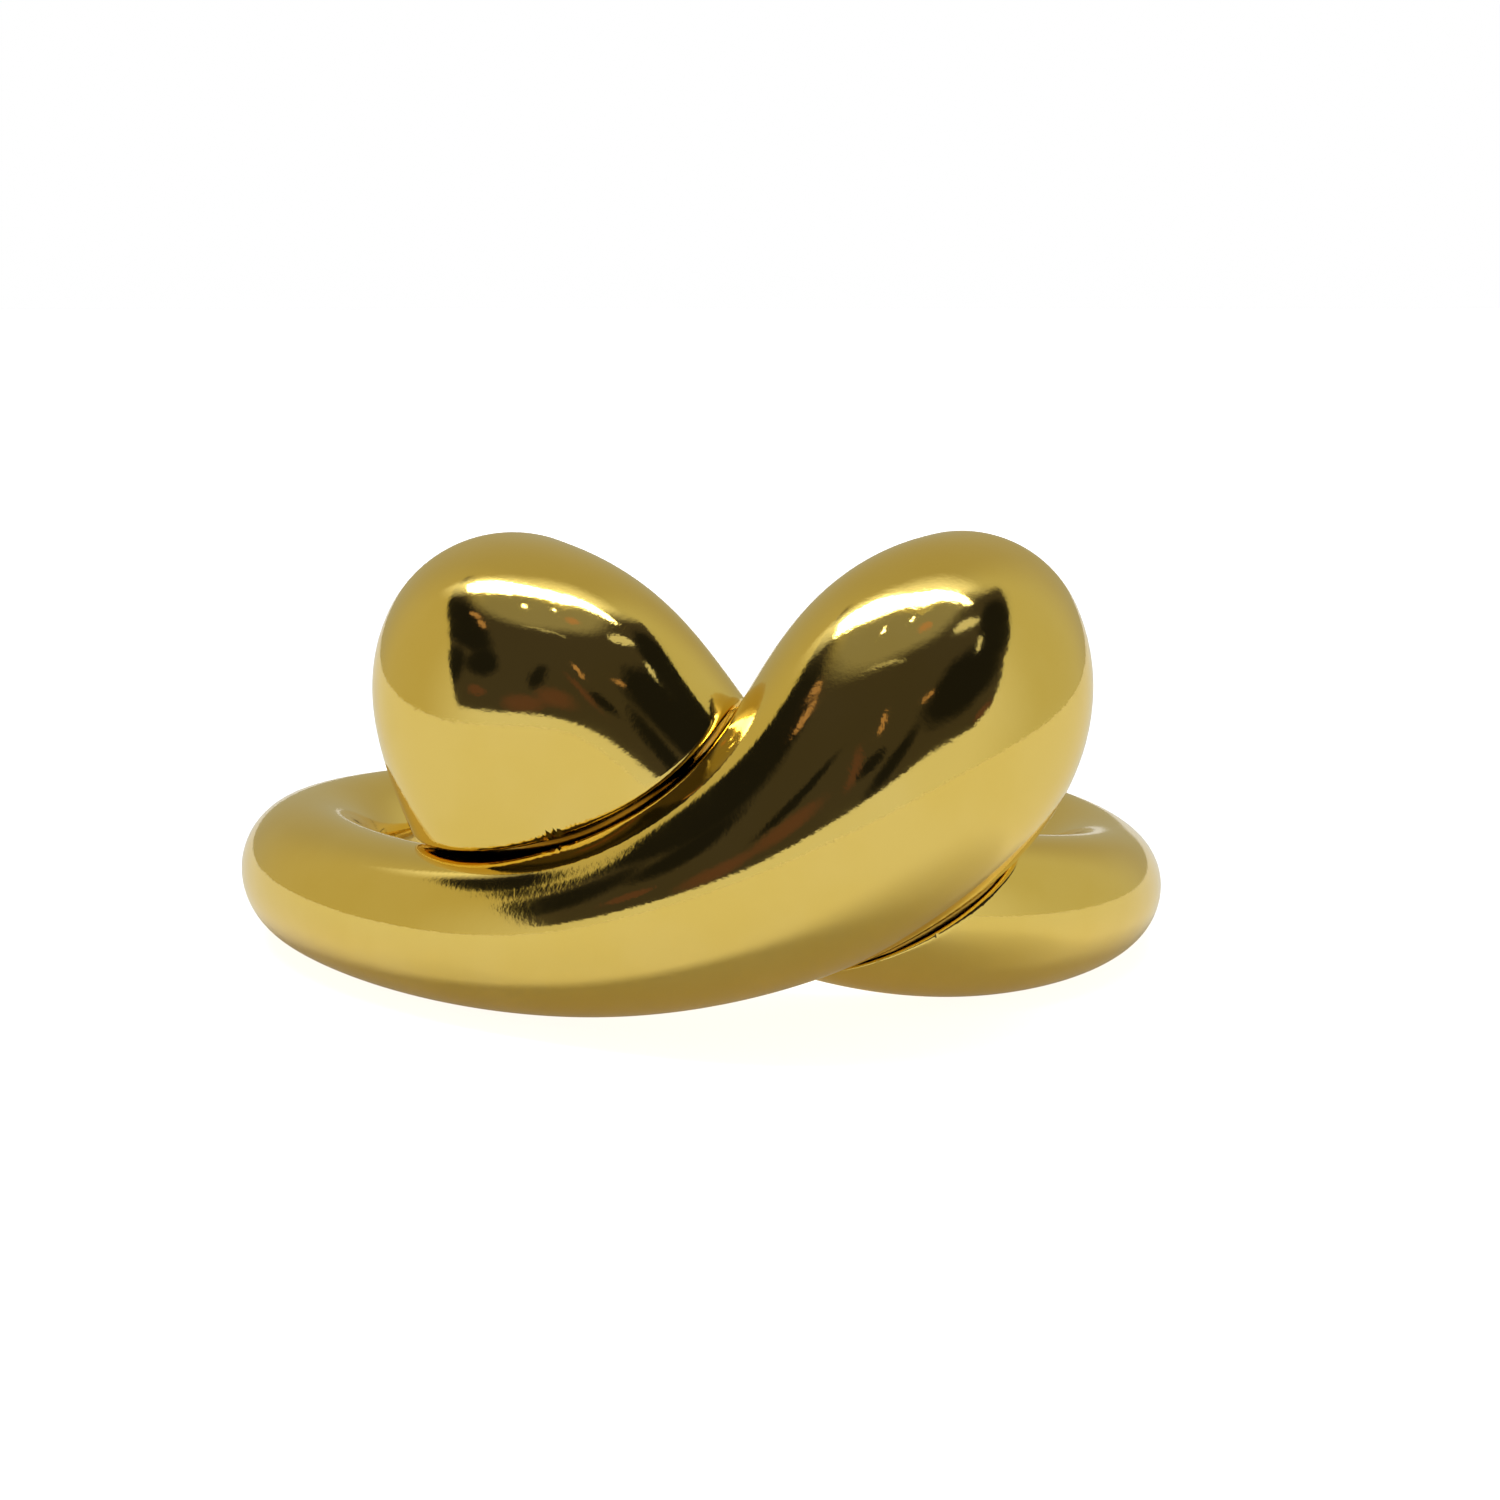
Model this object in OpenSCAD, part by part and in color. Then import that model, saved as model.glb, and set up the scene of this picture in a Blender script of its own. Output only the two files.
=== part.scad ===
// A two-piece take-apart ring puzzle. Two tapered strands share one ring and cross at the
// front, where each ends in a rounded lobe, so that the pair reads as a heart.
// The ring lies on the plane z = 0, its axis is Z and the crossing faces -Y.
// The front hook pulls straight off towards -Y, along a dovetail key hidden in the shank.

/* [Ring] */
// Radius of the ring's centreline
ring_r = 24; // [21:0.5:30]
// Strand radius at the back of the ring
back_r = 2.8; // [2.3:0.1:3.4]
// Strand radius halfway between the back and the sides
quarter_r = 3.4; // [2.8:0.1:4]
// Depth of the narrow flat that the ring rests on
rest_flat = 0.15; // [0.05:0.05:0.3]

/* [Front hook] */
// Strand radius at the left side of the ring
left_r = 4.1; // [3.4:0.1:4.9]
// Strand radius where the front hook crosses the middle
front_cross_r = 5.7; // [4.8:0.1:6.4]
// Radius of the front hook's lobe
front_lobe_r = 9.2; // [7.8:0.1:10.6]
// Height of the front lobe's tip above the strand's own underside
front_lift = 12.1; // [10:0.1:14.5]
// How far the front hook swings outside the ring's centreline
front_swing = 2; // [0.5:0.1:2.5]

/* [Rear hook] */
// Strand radius at the right side of the ring
right_r = 3.1; // [2.6:0.1:3.9]
// Strand radius where the rear hook passes behind the middle
rear_cross_r = 5.8; // [4.8:0.1:6.5]
// Radius of the rear hook's lobe
rear_lobe_r = 9; // [7.6:0.1:10.4]
// Height of the rear lobe's tip above the strand's own underside
rear_lift = 9.8; // [8.2:0.1:11.4]
// How far the rear hook swings inside the ring's centreline
rear_swing = 7.8; // [6.5:0.1:8.8]

/* [Fit] */
// Gap between the two hooks where they nest at the crossing
nest_gap = 0.3; // [0.15:0.05:0.4]
// Distance of the parting plane left of the ring's axis
parting_x = 17; // [16:0.5:18]
// Length of the dovetail key
key_l = 3.2; // [2.4:0.1:3.6]
// Height of the key at its neck
key_neck = 2; // [1.6:0.1:2.4]
// Height of the key at its wide end
key_flare = 3; // [2.6:0.1:3.4]
// Gap round the key and across the parting plane
key_gap = 0.12; // [0.08:0.02:0.2]

/* [Hidden] */

// Facets round a strand
sides = 40;
// Angle between two rings of points along a strand
ring_step = 4;
// Rings of points between a lobe's last strand ring and its tip
cap_rings = 7;
// Step used to take slopes along a path
dt = 0.01;
// Facets of the rounded cutter that hollows out the nest
cutter_fn = 32;
// Pieces of the cutter in each span of the path
cutter_pieces = 3;
// A length past every face of the part
beyond = 3 * ring_r;
key_z = quarter_r - rest_flat;

// Each row of a path is a control point of a smooth curve: its angle from the back of the
// ring, positive to the left, its swing outside the ring's centreline, the rise of the
// strand's underside above the rest plane, and the strand's radius.
back_row = [0, 0, 0, back_r];
left_row = [45, 0, 0, quarter_r];
right_row = [-45, 0, 0, quarter_r];
left_side = [90, 0, 0, left_r];
left_front = [120, -1.1, 0.1, left_r];

front_path = [
    right_row,
    back_row,
    left_row,
    left_side,
    left_front,
    [145, -0.5, 0, left_r + 0.1],
    [165, 0.35 * front_swing, 0.02 * front_lift, (2 * left_r + front_cross_r) / 3],
    [179, 0.85 * front_swing, 0.1 * front_lift, front_cross_r],
    [191, front_swing, 0.23 * front_lift, 0.75 * front_lobe_r],
    [201, 0.65 * front_swing, 0.38 * front_lift, 0.9 * front_lobe_r],
    [211, 0, 0.61 * front_lift, front_lobe_r],
    [219, -1.3, front_lift, 0.75 * front_lobe_r]
];

rear_path = [
    left_front,
    left_side,
    left_row,
    back_row,
    right_row,
    [-90, 0, 0, right_r],
    [-120, 0.8, 0, right_r + 0.8],
    [-145, 0, 0, right_r + 1.7],
    [-165, -0.25 * rear_swing, 0.19 * rear_lift, 0.86 * rear_cross_r],
    [-180, -0.48 * rear_swing, 0.48 * rear_lift, rear_cross_r],
    [-192, -0.63 * rear_swing, 0.79 * rear_lift, 0.74 * rear_lobe_r],
    [-202, -0.7 * rear_swing, 0.89 * rear_lift, 0.85 * rear_lobe_r],
    [-213, -0.83 * rear_swing, 0.73 * rear_lift, rear_lobe_r],
    [-221, -rear_swing, rear_lift, 0.86 * rear_lobe_r]
];

// The root runs from the rear lobe straight down behind the front hook.
root_path = [
    [-213, -0.82 * rear_swing, 0.8 * rear_lift, 0.78 * rear_lobe_r],
    [-209, -0.76 * rear_swing, 0.4 * rear_lift, 0.91 * rear_lobe_r],
    [-206, -0.7 * rear_swing, 0.14 * rear_lift, 0.76 * rear_lobe_r]
];

// Rows before these are there only to shape the curve, so that both hooks share one shank.
front_start = 1.4;
rear_start = 1.4;
// The row of the front path from which the rear hook makes room for the front hook
nest_start = 4;

function unit(v) = v / norm(v);

// A uniform cubic B-spline span between its second and third control points.
function spline_span(a, b, c, d, u) =
    (pow(1 - u, 3) * a
    + (3 * pow(u, 3) - 6 * pow(u, 2) + 4) * b
    + (1 + 3 * u + 3 * pow(u, 2) - 3 * pow(u, 3)) * c
    + pow(u, 3) * d) / 6;

// The path with one more row at each end, so that the curve starts and ends on its own rows.
function extended(path) =
    let (last = len(path) - 1)
    concat([2 * path[0] - path[1]], path, [2 * path[last] - path[last - 1]]);

// The row at t, where t counts the path's rows from 0.
function row_at(path, t) =
    let (rows = extended(path), i = max(0, min(floor(t), len(path) - 2)))
    spline_span(rows[i], rows[i + 1], rows[i + 2], rows[i + 3], t - i);

function centre_of(row) = [
    -(ring_r + row[1]) * sin(row[0]),
    (ring_r + row[1]) * cos(row[0]),
    row[3] + row[2] - rest_flat
];

// The stops along a path from its start row to its end, about ring_step apart.
function stops(path, start) = [
    for (i = [0 : len(path) - 2])
        let (pieces = ceil(abs(path[i + 1][0] - path[i][0]) / ring_step))
        for (k = [0 : pieces - 1])
            let (t = i + k / pieces)
            if (t >= start) t,
    len(path) - 1
];

// A circle of points on the sphere at stop t, at the angle polar from the strand's direction.
// Without an angle, it is the circle along which that sphere touches the strand's skin.
function circle_at(path, t, polar = undef) =
    let (
        here = row_at(path, t),
        back = row_at(path, t - dt),
        ahead = row_at(path, t + dt),
        step = centre_of(ahead) - centre_of(back),
        along = unit(step),
        growth = (ahead[3] - back[3]) / norm(step),
        angle = is_undef(polar) ? acos(-growth) : polar * acos(-growth),
        across = unit(cross(along, [0, 0, 1])),
        up = cross(across, along)
    )
    [for (k = [0 : sides - 1])
        let (turn = 360 * k / sides)
        centre_of(here) + here[3]
            * (cos(angle) * along + sin(angle) * (cos(turn) * across + sin(turn) * up))];

// A tapered strand that follows its path and ends in a rounded tip.
module strand(path, start) {
    last = len(path) - 1;
    skin = [for (t = stops(path, start)) circle_at(path, t)];
    cap = [for (k = [1 : cap_rings - 1]) circle_at(path, last, 1 - k / cap_rings)];
    tip = circle_at(path, last, 0)[0];
    rings = concat(skin, cap);
    count = len(rings);
    points = concat([for (ring = rings) each ring], [tip]);
    walls = [
        for (i = [0 : count - 2], k = [0 : sides - 1])
            let (a = i * sides + k, b = i * sides + (k + 1) % sides)
            each [[a, b, b + sides], [a, b + sides, a + sides]]
    ];
    tip_fan = [
        for (k = [0 : sides - 1])
            [(count - 1) * sides + k, (count - 1) * sides + (k + 1) % sides, count * sides]
    ];
    start_face = [[for (k = [sides - 1 : -1 : 0]) k]];
    polyhedron(points = points, faces = concat(start_face, walls, tip_fan), convexity = 6);
}

// What the front hook passes through on its way out, with the nest's gap all round.
module front_hook_way() {
    last = len(front_path) - 1;
    pieces = cutter_pieces * (last - nest_start);
    for (k = [0 : pieces - 1]) {
        hull() {
            for (t = [nest_start + k / cutter_pieces, nest_start + (k + 1) / cutter_pieces]) {
                way_stop(row_at(front_path, t));
            }
        }
    }
}

// One stop of the way out: a sphere and its copy far in front of the ring.
module way_stop(row) {
    for (forward = [0, beyond]) {
        translate(centre_of(row) - [0, forward, 0]) {
            sphere(r = row[3] + nest_gap, $fn = cutter_fn);
        }
    }
}

// Everything right of the parting plane, less the key, in the back half of the ring.
module right_of_parting() {
    back_half() polygon([
        [beyond, -beyond],
        [-parting_x, -beyond],
        [-parting_x, key_z - key_neck / 2],
        [key_l - parting_x, key_z - key_flare / 2],
        [key_l - parting_x, key_z + key_flare / 2],
        [-parting_x, key_z + key_neck / 2],
        [-parting_x, beyond],
        [beyond, beyond]
    ]);
}

// Everything left of the parting plane, and the key, in the back half of the ring.
module left_of_parting() {
    back_half() polygon([
        [-beyond, -beyond],
        [key_gap - parting_x, -beyond],
        [key_gap - parting_x, key_z - key_neck / 2 - key_gap],
        [key_l + key_gap - parting_x, key_z - key_flare / 2 - key_gap],
        [key_l + key_gap - parting_x, key_z + key_flare / 2 + key_gap],
        [key_gap - parting_x, key_z + key_neck / 2 + key_gap],
        [key_gap - parting_x, beyond],
        [-beyond, beyond]
    ]);
}

// Draws an outline in X and Z along Y, from the ring's axis to behind the ring.
module back_half() {
    translate([0, beyond, 0]) {
        rotate([90, 0, 0]) {
            linear_extrude(height = beyond) children();
        }
    }
}

module below_rest_plane() {
    translate([-beyond, -beyond, -beyond]) {
        cube([2 * beyond, 2 * beyond, beyond]);
    }
}

// Right shank, the strand that passes behind, the left lobe and the whole back of the ring.
module rear_hook() {
    color("goldenrod")
    difference() {
        union() {
            strand(rear_path, rear_start);
            strand(root_path, 0);
        }
        left_of_parting();
        front_hook_way();
        below_rest_plane();
    }
}

// Left shank, the strand that crosses in front, the right lobe and the key.
module front_hook() {
    color("gold")
    difference() {
        strand(front_path, front_start);
        right_of_parting();
        below_rest_plane();
    }
}

rear_hook();
front_hook();
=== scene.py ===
"""Take-apart ring puzzle: two polished gold-plated hooks that share one ring.

Each hook's skin is rebuilt on the exact tapered strand that its CAD solid is faceted
from, because a mirror finish shows every facet. Lengths inside the skin functions are
in millimetres, and meshes are written in metres.
"""
import math

import bmesh
import bpy
import numpy as np
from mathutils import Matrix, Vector


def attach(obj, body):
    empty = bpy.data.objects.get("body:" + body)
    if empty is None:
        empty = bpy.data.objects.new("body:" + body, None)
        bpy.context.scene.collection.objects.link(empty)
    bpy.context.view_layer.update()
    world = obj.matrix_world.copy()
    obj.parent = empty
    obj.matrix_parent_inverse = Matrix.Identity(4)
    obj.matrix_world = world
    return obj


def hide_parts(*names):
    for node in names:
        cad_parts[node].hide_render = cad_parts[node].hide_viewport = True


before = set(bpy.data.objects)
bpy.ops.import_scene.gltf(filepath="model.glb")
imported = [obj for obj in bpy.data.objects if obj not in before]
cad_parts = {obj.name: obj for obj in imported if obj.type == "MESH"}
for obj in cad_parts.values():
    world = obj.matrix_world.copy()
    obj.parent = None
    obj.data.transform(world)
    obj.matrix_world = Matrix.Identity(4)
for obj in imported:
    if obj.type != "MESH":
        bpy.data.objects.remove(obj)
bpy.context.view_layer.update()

MM = 0.001

# ---------------------------------------------------------------- the CAD's own values
RING_R = 24.0
REST_FLAT = 0.15
BACK_R = 2.8
QUARTER_R = 3.4
LEFT_R = 4.1
FRONT_CROSS_R = 5.7
FRONT_LOBE_R = 9.2
FRONT_LIFT = 12.1
FRONT_SWING = 2.0
RIGHT_R = 3.1
REAR_CROSS_R = 5.8
REAR_LOBE_R = 9.0
REAR_LIFT = 9.8
REAR_SWING = 7.8
NEST_GAP = 0.3
NEST_START = 4
PARTING_X = 17.0
KEY_LENGTH = 3.2
KEY_NECK = 2.0
KEY_FLARE = 3.0
KEY_GAP = 0.12
KEY_Z = QUARTER_R - REST_FLAT
BEYOND = 60.0

# A path's rows: angle from the back of the ring (positive to the left), swing outside
# the ring's centreline, rise of the strand's underside, strand radius.
BACK_ROW = (0, 0, 0, BACK_R)
LEFT_ROW = (45, 0, 0, QUARTER_R)
RIGHT_ROW = (-45, 0, 0, QUARTER_R)
LEFT_SIDE = (90, 0, 0, LEFT_R)
LEFT_FRONT = (120, -1.1, 0.1, LEFT_R)

FRONT_PATH = [
    RIGHT_ROW,
    BACK_ROW,
    LEFT_ROW,
    LEFT_SIDE,
    LEFT_FRONT,
    (145, -0.5, 0, LEFT_R + 0.1),
    (165, 0.35 * FRONT_SWING, 0.02 * FRONT_LIFT, (2 * LEFT_R + FRONT_CROSS_R) / 3),
    (179, 0.85 * FRONT_SWING, 0.1 * FRONT_LIFT, FRONT_CROSS_R),
    (191, FRONT_SWING, 0.23 * FRONT_LIFT, 0.75 * FRONT_LOBE_R),
    (201, 0.65 * FRONT_SWING, 0.38 * FRONT_LIFT, 0.9 * FRONT_LOBE_R),
    (211, 0, 0.61 * FRONT_LIFT, FRONT_LOBE_R),
    (219, -1.3, FRONT_LIFT, 0.75 * FRONT_LOBE_R),
]
REAR_PATH = [
    LEFT_FRONT,
    LEFT_SIDE,
    LEFT_ROW,
    BACK_ROW,
    RIGHT_ROW,
    (-90, 0, 0, RIGHT_R),
    (-120, 0.8, 0, RIGHT_R + 0.8),
    (-145, 0, 0, RIGHT_R + 1.7),
    (-165, -0.25 * REAR_SWING, 0.19 * REAR_LIFT, 0.86 * REAR_CROSS_R),
    (-180, -0.48 * REAR_SWING, 0.48 * REAR_LIFT, REAR_CROSS_R),
    (-192, -0.63 * REAR_SWING, 0.79 * REAR_LIFT, 0.74 * REAR_LOBE_R),
    (-202, -0.7 * REAR_SWING, 0.89 * REAR_LIFT, 0.85 * REAR_LOBE_R),
    (-213, -0.83 * REAR_SWING, 0.73 * REAR_LIFT, REAR_LOBE_R),
    (-221, -REAR_SWING, REAR_LIFT, 0.86 * REAR_LOBE_R),
]
ROOT_PATH = [
    (-213, -0.82 * REAR_SWING, 0.8 * REAR_LIFT, 0.78 * REAR_LOBE_R),
    (-209, -0.76 * REAR_SWING, 0.4 * REAR_LIFT, 0.91 * REAR_LOBE_R),
    (-206, -0.7 * REAR_SWING, 0.14 * REAR_LIFT, 0.76 * REAR_LOBE_R),
]

# ---------------------------------------------------------------- the skins' own values
COARSE_STEP = 0.06
FINE_STEPS = (0.06, 0.012, 0.004)
STRAND_START = 1.4
STUB_END = 2.6
STUB_SIDES = 48
SKIN_VOXEL = 0.2
NEST_ROUND = 0.4
ROOT_BLEND = 2.5
NEWTON_ROUNDS = 4
NEWTON_LIMIT = 0.5
# the least squared slope that a Newton step divides by
SLOPE_FLOOR = 0.05
# a face lies on the skin while every corner's skin direction keeps this cosine to it
ON_SKIN = 0.8
# points handled at once in the nearest-sphere search
CHUNK = 4000
TINY = 1e-9


# ---------------------------------------------------------------- strands
def rows_at(path, t):
    """Rows of the path's uniform cubic B-spline at the parameters t."""
    path = np.array(path, float)
    first = 2 * path[0] - path[1]
    last = 2 * path[-1] - path[-2]
    rows = np.vstack([first, path, last])
    i = np.clip(np.floor(t).astype(int), 0, len(path) - 2)
    u = (t - i)[:, None]
    return (
        (1 - u) ** 3 * rows[i]
        + (3 * u**3 - 6 * u**2 + 4) * rows[i + 1]
        + (1 + 3 * u + 3 * u**2 - 3 * u**3) * rows[i + 2]
        + u**3 * rows[i + 3]
    ) / 6


def spheres_at(path, t):
    """Centres and radii of the strand's spheres at the parameters t."""
    rows = rows_at(path, t)
    angle = np.radians(rows[:, 0])
    reach = RING_R + rows[:, 1]
    height = rows[:, 3] + rows[:, 2] - REST_FLAT
    centres = np.stack([-reach * np.sin(angle), reach * np.cos(angle), height], axis=1)
    return centres, rows[:, 3]


def arms_to(points, centres, forward):
    """Vectors from the centres to the points; forward draws each centre out to -Y."""
    arm = points - centres
    if forward:
        arm[..., 1] = np.maximum(arm[..., 1], 0)
    return arm


def levels(points, path, t, forward):
    """Signed distance of each point to the sphere at its own parameter t."""
    centres, radii = spheres_at(path, t)
    arm = arms_to(points, centres, forward)
    length = np.maximum(np.sqrt((arm**2).sum(axis=1)), TINY)
    return length - radii, arm / length[:, None]


def nearest_samples(points, path, t, forward):
    """For each point, the parameter in t of the sphere that it is nearest to."""
    centres, radii = spheres_at(path, t)
    best = np.empty(len(points), int)
    for a in range(0, len(points), CHUNK):
        arm = arms_to(points[a : a + CHUNK, None, :], centres[None], forward)
        best[a : a + CHUNK] = (np.sqrt((arm**2).sum(axis=2)) - radii).argmin(axis=1)
    return t[best]


def to_strand(points, path, start, grow=0.0, forward=False):
    """Signed distance of the points to a strand's skin, and its direction.

    With forward, the strand is drawn out endlessly towards -Y, as it leaves the puzzle.
    """
    last = len(path) - 1
    samples = np.arange(start, last + COARSE_STEP / 2, COARSE_STEP)
    t = nearest_samples(points, path, samples, forward)
    for step in FINE_STEPS:
        before = levels(points, path, t - step, forward)[0]
        here = levels(points, path, t, forward)[0]
        after = levels(points, path, t + step, forward)[0]
        bend = np.maximum(before - 2 * here + after, 1e-12)
        t = t + step * np.clip((before - after) / (2 * bend), -1, 1)
        t = np.clip(t, start, last)
    distance, direction = levels(points, path, t, forward)
    return distance - grow, direction


def blended(a, a_out, b, b_out, size):
    """The union of two skins, with a soft fillet of about the given size."""
    overlap = np.maximum(size - np.abs(a - b), 0) / size
    share = np.where(a < b, 1 - overlap / 2, overlap / 2)[:, None]
    return np.minimum(a, b) - overlap**2 * size / 4, share * a_out + (1 - share) * b_out


def front_skin(points):
    """The front hook's smooth skin, before its flat and parting face are cut."""
    return to_strand(points, FRONT_PATH, STRAND_START)


def rear_skin(points):
    """The rear hook's smooth skin: its strand and root, less the front hook's way out.

    Unlike the CAD solid, the crease at the root is filled and the nest's rim is rounded.
    """
    strand, strand_out = to_strand(points, REAR_PATH, STRAND_START)
    root, root_out = to_strand(points, ROOT_PATH, 0)
    strand, strand_out = blended(strand, strand_out, root, root_out, ROOT_BLEND)
    way, way_out = to_strand(points, FRONT_PATH, NEST_START, NEST_GAP, forward=True)
    cut, cut_in = blended(-strand, -strand_out, way, way_out, NEST_ROUND)
    return -cut, -cut_in


# ---------------------------------------------------------------- meshes
def new_mesh(name, points_mm, faces):
    mesh = bpy.data.meshes.new(name)
    mesh.from_pydata([tuple(p) for p in np.asarray(points_mm) * MM], [], faces)
    mesh.update()
    return mesh


def new_object(name, mesh):
    obj = bpy.data.objects.new(name, mesh)
    bpy.context.scene.collection.objects.link(obj)
    return obj


def points_of(mesh):
    flat = np.empty(len(mesh.vertices) * 3)
    mesh.vertices.foreach_get("co", flat)
    return flat.reshape(-1, 3) / MM


def with_modifiers(obj):
    """The object's mesh with its modifiers applied, as a new mesh."""
    graph = bpy.context.evaluated_depsgraph_get()
    return bpy.data.meshes.new_from_object(obj.evaluated_get(graph), depsgraph=graph)


def bake_modifiers(obj):
    mesh = with_modifiers(obj)
    obj.modifiers.clear()
    old = obj.data
    obj.data = mesh
    bpy.data.meshes.remove(old)


def stub(path, start, end):
    """A short closed length of strand, which carries a hook on past its parting face."""
    count = int((end - start) / 0.05) + 1
    t = np.linspace(start, end, count)
    centres, radii = spheres_at(path, t)
    turn = np.linspace(0, 2 * math.pi, STUB_SIDES, endpoint=False)
    points = []
    for i in range(count):
        along = centres[min(i + 1, count - 1)] - centres[max(i - 1, 0)]
        along /= np.linalg.norm(along)
        across = np.cross(along, (0, 0, 1))
        across /= np.linalg.norm(across)
        up = np.cross(across, along)
        circle = np.cos(turn)[:, None] * across + np.sin(turn)[:, None] * up
        points.extend(centres[i] + radii[i] * circle)
    faces = [list(range(STUB_SIDES))[::-1]]
    for i in range(count - 1):
        for k in range(STUB_SIDES):
            a = i * STUB_SIDES + k
            b = i * STUB_SIDES + (k + 1) % STUB_SIDES
            faces.append([a, b, b + STUB_SIDES, a + STUB_SIDES])
    faces.append([(count - 1) * STUB_SIDES + k for k in range(STUB_SIDES)])
    return np.array(points), faces


def joined(mesh, points_mm, faces):
    """A mesh that holds a CAD mesh's triangles and some more faces."""
    base = points_of(mesh)
    polygons = [list(p.vertices) for p in mesh.polygons]
    polygons += [[len(base) + i for i in face] for face in faces]
    return new_mesh("base", np.vstack([base, points_mm]), polygons)


def prism(name, outline, y_low, y_high, material):
    """A cutter: an outline in X and Z drawn along Y."""
    count = len(outline)
    points = [(x, y, z) for y in (y_low, y_high) for x, z in outline]
    faces = [[k, (k + 1) % count, count + (k + 1) % count, count + k] for k in range(count)]
    faces += [list(range(count))[::-1], [count + k for k in range(count)]]
    obj = new_object(name, new_mesh(name, points, faces))
    obj.data.materials.append(material)
    return outward(obj)


def outward(obj):
    """Turns every face of a closed cutter to face out."""
    shell = bmesh.new()
    shell.from_mesh(obj.data)
    bmesh.ops.recalc_face_normals(shell, faces=shell.faces)
    shell.to_mesh(obj.data)
    shell.free()
    return obj


def cut(obj, cutter):
    """Takes a cutter from the object; the new faces keep the cutter's material."""
    modifier = obj.modifiers.new("cut", "BOOLEAN")
    modifier.operation = "DIFFERENCE"
    modifier.solver = "EXACT"
    modifier.object = cutter
    if hasattr(modifier, "material_mode"):
        modifier.material_mode = "TRANSFER"
    bake_modifiers(obj)
    bpy.data.objects.remove(cutter)


def keyed_outline(side, gap):
    """Everything on one side of the parting face, with the dovetail key's outline."""
    x = gap - PARTING_X
    neck = KEY_NECK / 2 + gap
    flare = KEY_FLARE / 2 + gap
    return [
        (side * BEYOND, -BEYOND),
        (x, -BEYOND),
        (x, KEY_Z - neck),
        (x + KEY_LENGTH, KEY_Z - flare),
        (x + KEY_LENGTH, KEY_Z + flare),
        (x, KEY_Z + neck),
        (x, BEYOND),
        (side * BEYOND, BEYOND),
    ]


def settle(points, skin):
    """Moves points onto a skin by Newton's method, in short steps."""
    for _ in range(NEWTON_ROUNDS):
        level, slope = skin(points)
        step = level / np.maximum((slope**2).sum(axis=1), SLOPE_FLOOR)
        step = np.clip(step, -NEWTON_LIMIT, NEWTON_LIMIT)
        points = points - step[:, None] * slope
    return points


def hook(node, path, skin, parting, polished, machined):
    """One hook: its skin on the exact strand, then its flat and parting face."""
    base = joined(bpy.data.objects[node].data, *stub(path, STRAND_START, STUB_END))
    obj = new_object(node + "_skin", base)
    remesh = obj.modifiers.new("remesh", "REMESH")
    remesh.mode = "VOXEL"
    remesh.voxel_size = SKIN_VOXEL * MM
    bake_modifiers(obj)
    points = settle(points_of(obj.data), skin)
    obj.data.vertices.foreach_set("co", (points * MM).ravel())
    obj.data.materials.clear()
    obj.data.materials.append(polished)
    cut(obj, prism("parting", parting, 0, BEYOND, machined))
    floor = [(-BEYOND, -BEYOND), (BEYOND, -BEYOND), (BEYOND, 0), (-BEYOND, 0)]
    cut(obj, prism("below", floor, -BEYOND, BEYOND, polished))
    shade(obj, skin)
    return obj


def shade(obj, skin):
    """Gives each skin corner the skin's own direction, and each flat its own."""
    mesh = obj.data
    points = points_of(mesh)
    slope = skin(points)[1]
    slope /= np.maximum(np.linalg.norm(slope, axis=1), TINY)[:, None]
    mesh.polygons.foreach_set("use_smooth", [True] * len(mesh.polygons))
    flat = np.empty(len(mesh.polygons) * 3)
    mesh.polygons.foreach_get("normal", flat)
    flat = flat.reshape(-1, 3)
    corner = np.empty(len(mesh.loops), int)
    mesh.loops.foreach_get("vertex_index", corner)
    sizes = np.empty(len(mesh.polygons), int)
    mesh.polygons.foreach_get("loop_total", sizes)
    face = np.repeat(np.arange(len(sizes)), sizes)
    agree = (slope[corner] * flat[face]).sum(axis=1)
    face_starts = np.concatenate([[0], np.cumsum(sizes)[:-1]])
    on_skin = np.minimum.reduceat(agree, face_starts) > ON_SKIN
    normals = np.where(on_skin[face][:, None], slope[corner], flat[face])
    mesh.normals_split_custom_set([tuple(n) for n in normals])
    mesh.update()


# ---------------------------------------------------------------- node helpers
def node_of(tree, kind, **values):
    node = tree.nodes.new(kind)
    for key, value in values.items():
        setattr(node, key, value)
    return node


def feed(tree, socket, value):
    """Links a socket, or sets it to a plain value."""
    if isinstance(value, bpy.types.NodeSocket):
        tree.links.new(value, socket)
    elif value is not None:
        socket.default_value = value


def calc(tree, operation, a, b=None):
    node = node_of(tree, "ShaderNodeMath", operation=operation)
    feed(tree, node.inputs[0], a)
    feed(tree, node.inputs[1], b)
    return node.outputs[0]


def ramp(tree, value, low, high):
    """0 below low, 1 above high, smooth between."""
    node = node_of(tree, "ShaderNodeMapRange", interpolation_type="SMOOTHSTEP")
    feed(tree, node.inputs["Value"], value)
    node.inputs["From Min"].default_value = low
    node.inputs["From Max"].default_value = high
    return node.outputs[0]


def linear(tree, value, low, high, to_low, to_high):
    node = node_of(tree, "ShaderNodeMapRange")
    feed(tree, node.inputs["Value"], value)
    node.inputs["From Min"].default_value = low
    node.inputs["From Max"].default_value = high
    node.inputs["To Min"].default_value = to_low
    node.inputs["To Max"].default_value = to_high
    return node.outputs[0]


def mix(tree, factor, a, b):
    node = node_of(tree, "ShaderNodeMix", data_type="RGBA")
    feed(tree, node.inputs["Factor"], factor)
    feed(tree, node.inputs[6], a)
    feed(tree, node.inputs[7], b)
    return node.outputs[2]


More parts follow.
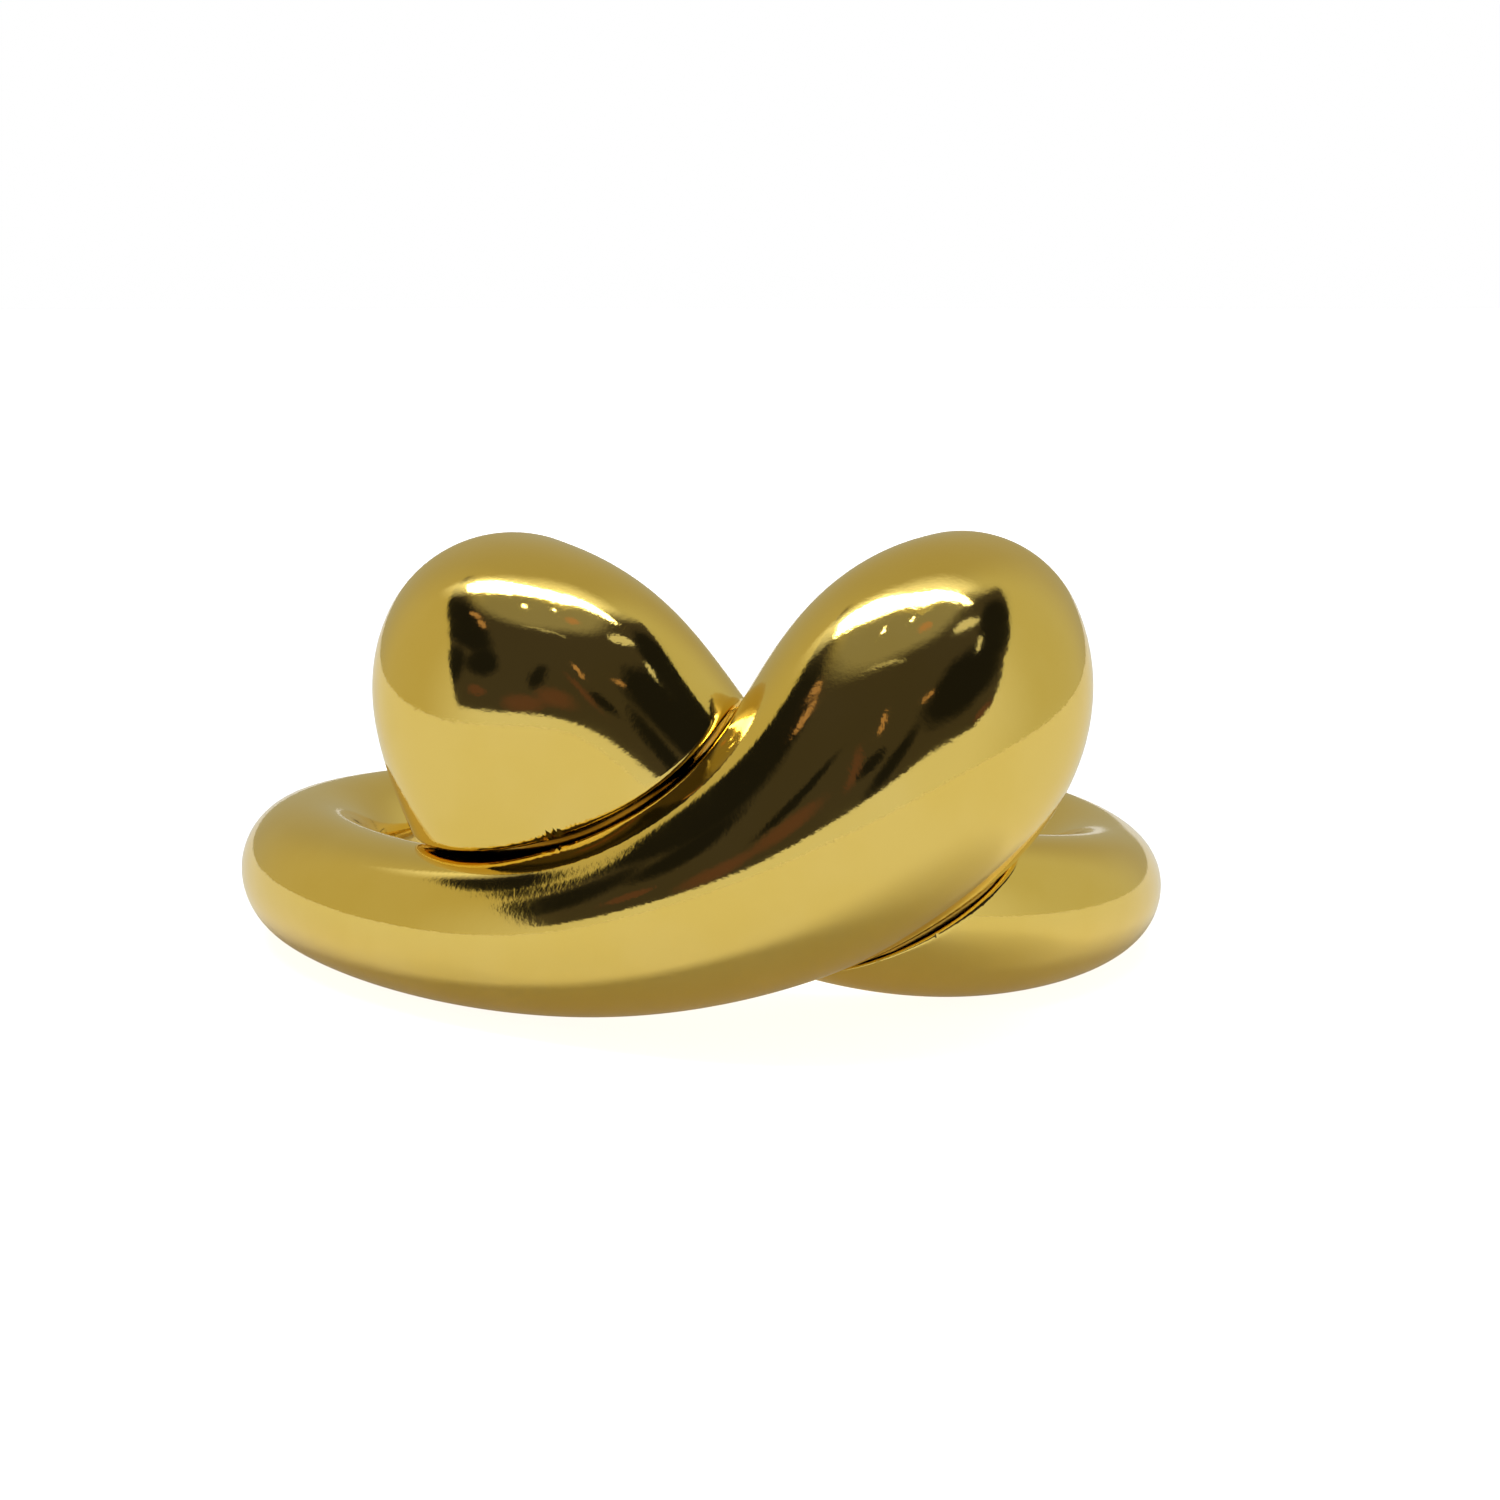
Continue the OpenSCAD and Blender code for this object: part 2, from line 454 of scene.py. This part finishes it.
def noise(tree, vector, scale, detail=2.0, rough=0.5):
    node = node_of(tree, "ShaderNodeTexNoise")
    feed(tree, node.inputs["Vector"], vector)
    node.inputs["Scale"].default_value = scale
    node.inputs["Detail"].default_value = detail
    node.inputs["Roughness"].default_value = rough
    return node.outputs["Fac"]


def grey(value):
    return (value, value, value, 1.0)


# ---------------------------------------------------------------- gold
GOLD = (0.93, 0.69, 0.165, 1.0)
GOLD_PALE = (0.95, 0.715, 0.19, 1.0)
# depth of the orange peel, in metres
PEEL_DEPTH = 0.000004


def gold_material(name, low_rough, high_rough, peel):
    """Gold plate with a faint orange peel and small changes of tint and roughness."""
    material = bpy.data.materials.new(name)
    material.use_nodes = True
    tree = material.node_tree
    shader = tree.nodes["Principled BSDF"]
    shader.inputs["Metallic"].default_value = 1.0
    place = node_of(tree, "ShaderNodeTexCoord").outputs["Object"]
    cloud = noise(tree, place, 160.0, 3.0)
    tint = mix(tree, ramp(tree, cloud, 0.35, 0.65), GOLD, GOLD_PALE)
    feed(tree, shader.inputs["Base Color"], tint)
    smear = noise(tree, place, 420.0, 4.0, 0.6)
    feed(tree, shader.inputs["Roughness"], linear(tree, smear, 0.3, 0.7, low_rough, high_rough))
    grain = noise(tree, place, 3600.0, 2.0, 0.5)
    bump = node_of(tree, "ShaderNodeBump")
    bump.inputs["Strength"].default_value = peel
    bump.inputs["Distance"].default_value = PEEL_DEPTH
    feed(tree, bump.inputs["Height"], grain)
    feed(tree, shader.inputs["Normal"], bump.outputs["Normal"])
    return material


# ---------------------------------------------------------------- surroundings
# A white light tent, whose open front shows a dim room. Directions are azimuth (0 towards
# the camera, positive to the right) and elevation, in degrees; colours are radiance.
TENT = grey(0.68)
TENT_LEFT = (0.5, 0.45, 0.27, 1.0)
TENT_RIGHT = (0.53, 0.51, 0.38, 1.0)
TENT_BACK = (0.42, 0.38, 0.24, 1.0)
TENT_TOP = (0.25, 0.24, 0.22, 1.0)
ROOM = (0.05, 0.044, 0.045, 1.0)
GLOW = grey(1.1)
LAMP = grey(9.0)
DARK = (0.011, 0.011, 0.014, 1.0)
RUST = (0.1, 0.052, 0.05, 1.0)
AMBER = (0.4, 0.24, 0.18, 1.0)
PALE = grey(0.62)
# elevation of the opening's lower and upper edges, and of the lamp strip's, by azimuth
SILL = [(-180, 44), (-143, 44), (-120, 41), (-100, 39), (-87, 33), (-74, 18), (-66, 6),
        (-20, 6), (12, 13), (30, 18), (50, 18), (60, 23), (75, 38), (100, 47), (128, 52),
        (180, 52)]
HEAD = [(-180, 30), (-147, 30), (-143, 44), (-125, 50), (-90, 57), (-60, 63), (-30, 69),
        (0, 72), (60, 73), (90, 72), (112, 66), (128, 52), (133, 36), (180, 36)]
STRIP_LOW = [(-180, 75), (-160, 73), (-147, 66), (-140, 56), (-134, 47), (-124, 50),
             (-120, 66), (-117, 84), (101, 84), (105, 67), (118, 70), (150, 74), (180, 75)]
STRIP_HIGH = [(-180, 85), (-150, 83), (-135, 79), (-124, 73), (-120, 66), (-117, 60),
              (101, 60), (105, 71), (118, 77), (150, 83), (180, 85)]
# What is seen in the room: azimuth, elevation, half width, half height, tilt, softness
# and colour. The last few lie over the tent's cloth too.
LIT_SHAPES = 3
ROOM_SHAPES = [
    (47, 42, 21, 13, 15, 0.4, DARK),
    (88, 52, 16, 9, 20, 0.4, DARK),
    (-27, 32, 3.2, 10, -18, 0.7, DARK),
    (2, 29, 4, 4, -10, 0.6, DARK),
    (-78, 24, 9, 10, 20, 0.6, DARK),
    (-92, 44, 24, 9, 0, 0.4, DARK),
    (-60, 32, 9, 8, -35, 0.6, DARK),
    (13, 24, 4, 11, -22, 0.7, DARK),
    (-33, 12, 8, 5, 10, 0.9, RUST),
    (-20, 20, 8, 6, 30, 0.9, RUST),
    (-6, 31, 1.8, 9, 25, 0.9, RUST),
    (-57, 16, 5, 2.4, 0, 0.6, RUST),
    (55, 23, 5, 1.6, 25, 0.6, RUST),
    (74, 66, 7, 2.8, -30, 0.3, PALE),
    (-3, 44, 0.9, 4.5, 22, 0.5, AMBER),
    (22, 45, 2.4, 1.2, 25, 0.6, AMBER),
    (-95, 52, 3.5, 1.3, 20, 0.6, AMBER),
    (-83, 51, 3.5, 1.6, -10, 0.6, AMBER),
    (66, 53, 4, 1.2, 35, 0.5, PALE),
    (-35, 68, 10, 0.6, 12, 0.6, PALE),
    (20, 82, 3.0, 2.5, 0, 0.7, AMBER),
    (-93, 74, 1.3, 0.7, 0, 0.3, LAMP),
    (-76, 86, 0.7, 0.7, 0, 0.3, LAMP),
]


def edge_line(tree, azimuth, table):
    """Elevation of an edge at an azimuth, from a short table of corners."""
    curve = node_of(tree, "ShaderNodeFloatCurve")
    line = curve.mapping.curves[0]
    while len(line.points) < len(table):
        line.points.new(0.5, 0.5)
    for point, (az, el) in zip(line.points, table):
        point.location = (0.5 + az / 360, el / 90)
        point.handle_type = "VECTOR"
    curve.mapping.update()
    feed(tree, curve.inputs["Value"], linear(tree, azimuth, -180, 180, 0, 1))
    return calc(tree, "MULTIPLY", curve.outputs[0], 90.0)


def dot(tree, a, b):
    node = node_of(tree, "ShaderNodeVectorMath", operation="DOT_PRODUCT")
    feed(tree, node.inputs[0], a)
    node.inputs[1].default_value = b
    return node.outputs["Value"]


def room_shape(tree, look, shape):
    """How far a direction is inside a soft, tilted ellipse in the room."""
    az, el, wide, high, tilt, soft, _ = shape
    az, el, tilt = math.radians(az), math.radians(el), math.radians(tilt)
    centre = Vector((math.sin(az) * math.cos(el), -math.cos(az) * math.cos(el), math.sin(el)))
    level = Vector((math.cos(az), math.sin(az), 0))
    rise = centre.cross(level)
    if rise.z < 0:
        rise = -rise
    across = math.cos(tilt) * level + math.sin(tilt) * rise
    along = math.cos(tilt) * rise - math.sin(tilt) * level
    u = dot(tree, look, across / math.sin(math.radians(wide)))
    v = dot(tree, look, along / math.sin(math.radians(high)))
    reach = calc(tree, "ADD", calc(tree, "MULTIPLY", u, u), calc(tree, "MULTIPLY", v, v))
    inside = ramp(tree, reach, 1 + soft, 1 - soft)
    return calc(tree, "MULTIPLY", inside, ramp(tree, dot(tree, look, centre), 0.0, 0.1))


def warped(tree, look):
    """The direction with a slight wander, so that no shape in the room is regular."""
    wander = node_of(tree, "ShaderNodeTexNoise")
    feed(tree, wander.inputs["Vector"], look)
    wander.inputs["Scale"].default_value = 5.0
    wander.inputs["Detail"].default_value = 3.0
    centred = node_of(tree, "ShaderNodeVectorMath", operation="SUBTRACT")
    feed(tree, centred.inputs[0], wander.outputs["Color"])
    centred.inputs[1].default_value = (0.5, 0.5, 0.5)
    moved = node_of(tree, "ShaderNodeVectorMath", operation="MULTIPLY_ADD")
    feed(tree, moved.inputs[0], centred.outputs[0])
    moved.inputs[1].default_value = (0.07, 0.07, 0.07)
    feed(tree, moved.inputs[2], look)
    return moved.outputs[0]


def world_light():
    """The light tent as a world: white cloth, an open front and a lamp strip."""
    world = bpy.data.worlds.new("light_tent")
    bpy.context.scene.world = world
    world.use_nodes = True
    tree = world.node_tree
    tree.nodes.clear()
    look = node_of(tree, "ShaderNodeTexCoord").outputs["Generated"]
    axes = node_of(tree, "ShaderNodeSeparateXYZ")
    feed(tree, axes.inputs[0], look)
    behind = calc(tree, "MULTIPLY", axes.outputs[1], -1.0)
    azimuth = calc(tree, "DEGREES", calc(tree, "ARCTAN2", axes.outputs[0], behind))
    elevation = calc(tree, "DEGREES", calc(tree, "ARCSINE", axes.outputs[2]))
    aside = calc(tree, "ABSOLUTE", azimuth)

    room = ROOM
    drift = warped(tree, look)
    for shape in ROOM_SHAPES[:-LIT_SHAPES]:
        room = mix(tree, room_shape(tree, drift, shape), room, shape[-1])

    tent = mix(tree, ramp(tree, azimuth, -45, -95), TENT, TENT_LEFT)
    tent = mix(tree, ramp(tree, azimuth, 45, 95), tent, TENT_RIGHT)
    tent = mix(tree, ramp(tree, aside, 125, 160), tent, TENT_BACK)
    front_top = calc(tree, "MULTIPLY", ramp(tree, elevation, 45, 60), ramp(tree, aside, 135, 115))
    tent = mix(tree, front_top, tent, TENT_TOP)
    over_sill = calc(tree, "SUBTRACT", elevation, edge_line(tree, azimuth, SILL))
    under_head = calc(tree, "SUBTRACT", edge_line(tree, azimuth, HEAD), elevation)
    above = ramp(tree, over_sill, -0.8, 0.8)
    opening = calc(tree, "MULTIPLY", above, ramp(tree, under_head, -5, 3))
    colour = mix(tree, opening, tent, room)
    over_low = calc(tree, "SUBTRACT", elevation, edge_line(tree, azimuth, STRIP_LOW))
    under_high = calc(tree, "SUBTRACT", edge_line(tree, azimuth, STRIP_HIGH), elevation)
    glow = calc(tree, "MULTIPLY", ramp(tree, over_low, -14, 0), ramp(tree, under_high, -3, 0))
    glow = calc(tree, "MULTIPLY", glow, ramp(tree, aside, 118, 135))
    colour = mix(tree, glow, colour, GLOW)
    strip = calc(tree, "MULTIPLY", ramp(tree, over_low, -1, 1), ramp(tree, under_high, -1, 1))
    colour = mix(tree, strip, colour, LAMP)
    for shape in ROOM_SHAPES[-LIT_SHAPES:]:
        colour = mix(tree, room_shape(tree, look, shape), colour, shape[-1])

    shown = node_of(tree, "ShaderNodeLightPath").outputs["Is Camera Ray"]
    background = node_of(tree, "ShaderNodeBackground")
    feed(tree, background.inputs["Color"], mix(tree, shown, colour, grey(1.0)))
    output = node_of(tree, "ShaderNodeOutputWorld")
    feed(tree, output.inputs["Surface"], background.outputs[0])


# half the floor's width and its depth under the ring, in millimetres
FLOOR_HALF = 900.0
FLOOR_DROP = 0.02
# the floor's own light, as reflections and as the camera see it
FLOOR_LIFT = (0.12, 0.86)


def floor():
    """A plain white floor that keeps only a faint contact shadow."""
    low, high, z = -FLOOR_HALF, FLOOR_HALF, -FLOOR_DROP
    corners = [(low, low, z), (high, low, z), (high, high, z), (low, high, z)]
    obj = new_object("floor", new_mesh("floor", corners, [[0, 1, 2, 3]]))
    material = bpy.data.materials.new("white_floor")
    material.use_nodes = True
    tree = material.node_tree
    tree.nodes.clear()
    cloth = node_of(tree, "ShaderNodeBsdfDiffuse")
    cloth.inputs["Color"].default_value = grey(0.9)
    lift = node_of(tree, "ShaderNodeEmission")
    lift.inputs["Color"].default_value = grey(1.0)
    seen = node_of(tree, "ShaderNodeLightPath").outputs["Is Camera Ray"]
    feed(tree, lift.inputs["Strength"], linear(tree, seen, 0, 1, *FLOOR_LIFT))
    both = node_of(tree, "ShaderNodeAddShader")
    feed(tree, both.inputs[0], cloth.outputs[0])
    feed(tree, both.inputs[1], lift.outputs[0])
    output = node_of(tree, "ShaderNodeOutputMaterial")
    feed(tree, output.inputs["Surface"], both.outputs[0])
    obj.data.materials.append(material)


# ---------------------------------------------------------------- camera
CAMERA_DISTANCE = 206.0
CAMERA_ELEVATION = 12.7
CAMERA_AIM = (2.96, 2.30, 10.21)
CAMERA_LENS = 80.9


def camera():
    tilt = math.radians(CAMERA_ELEVATION)
    place = Vector((0, -math.cos(tilt), math.sin(tilt))) * CAMERA_DISTANCE * MM
    data = bpy.data.cameras.new("camera")
    data.lens = CAMERA_LENS
    data.sensor_width = 36.0
    data.clip_start = 0.01
    data.clip_end = 10.0
    obj = new_object("camera", data)
    obj.location = place
    aim = Vector(CAMERA_AIM) * MM
    obj.rotation_euler = (aim - place).to_track_quat("-Z", "Y").to_euler()
    bpy.context.scene.camera = obj


# ---------------------------------------------------------------- the scene
def main():
    polished = gold_material("polished_gold", 0.04, 0.085, 0.8)
    machined = gold_material("machined_gold", 0.16, 0.26, 0.5)
    left = keyed_outline(-1, KEY_GAP)
    right = keyed_outline(1, 0.0)
    rear = hook("rear_hook", REAR_PATH, rear_skin, left, polished, machined)
    front = hook("front_hook", FRONT_PATH, front_skin, right, polished, machined)
    for piece, node in ((rear, "rear_hook"), (front, "front_hook")):
        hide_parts(node)
        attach(piece, node)
    world_light()
    floor()
    camera()
    bpy.context.scene.view_settings.view_transform = "Standard"


main()
